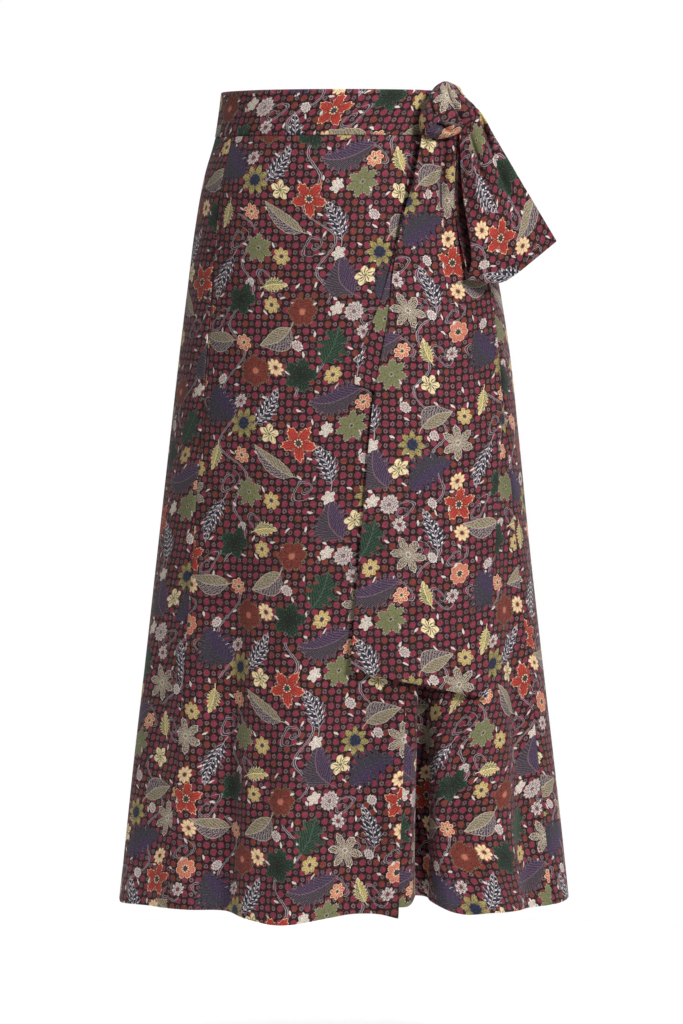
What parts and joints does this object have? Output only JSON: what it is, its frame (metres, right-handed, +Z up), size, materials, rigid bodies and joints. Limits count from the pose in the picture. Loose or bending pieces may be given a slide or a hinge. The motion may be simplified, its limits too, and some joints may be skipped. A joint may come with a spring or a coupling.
{
  "type": "wrap skirt",
  "caption": "Flared long wrap skirt with a waistband and a sash tied in a half bow at the left hip, in the hollow form it keeps when worn.",
  "frame": {"origin": "centre of the waistband's ring, halfway up the band", "axes": "+Z up along the skirt's length; -Y is the skirt's front; +X is the wearer's left, where the bow is"},
  "size_m": [0.4907, 0.353, 0.8933],
  "materials": {
    "printed_cloth": "matte woven cotton blend printed with flowers and leaves over rows of dots, near black with raspberry red",
    "band_cloth": "the same printed cloth, doubled over interfacing in the waistband",
    "sash_cloth": "the same printed cloth in the sash, softly gathered at the knot"
  },
  "bodies": {
    "root": {"waistband": "band_cloth", "front_over": "printed_cloth", "front_under": "printed_cloth", "back": "printed_cloth", "sash_knot": "sash_cloth", "sash_loop": "sash_cloth", "sash_long_end": "sash_cloth", "sash_short_end": "sash_cloth"}
  },
  "joints": []
}
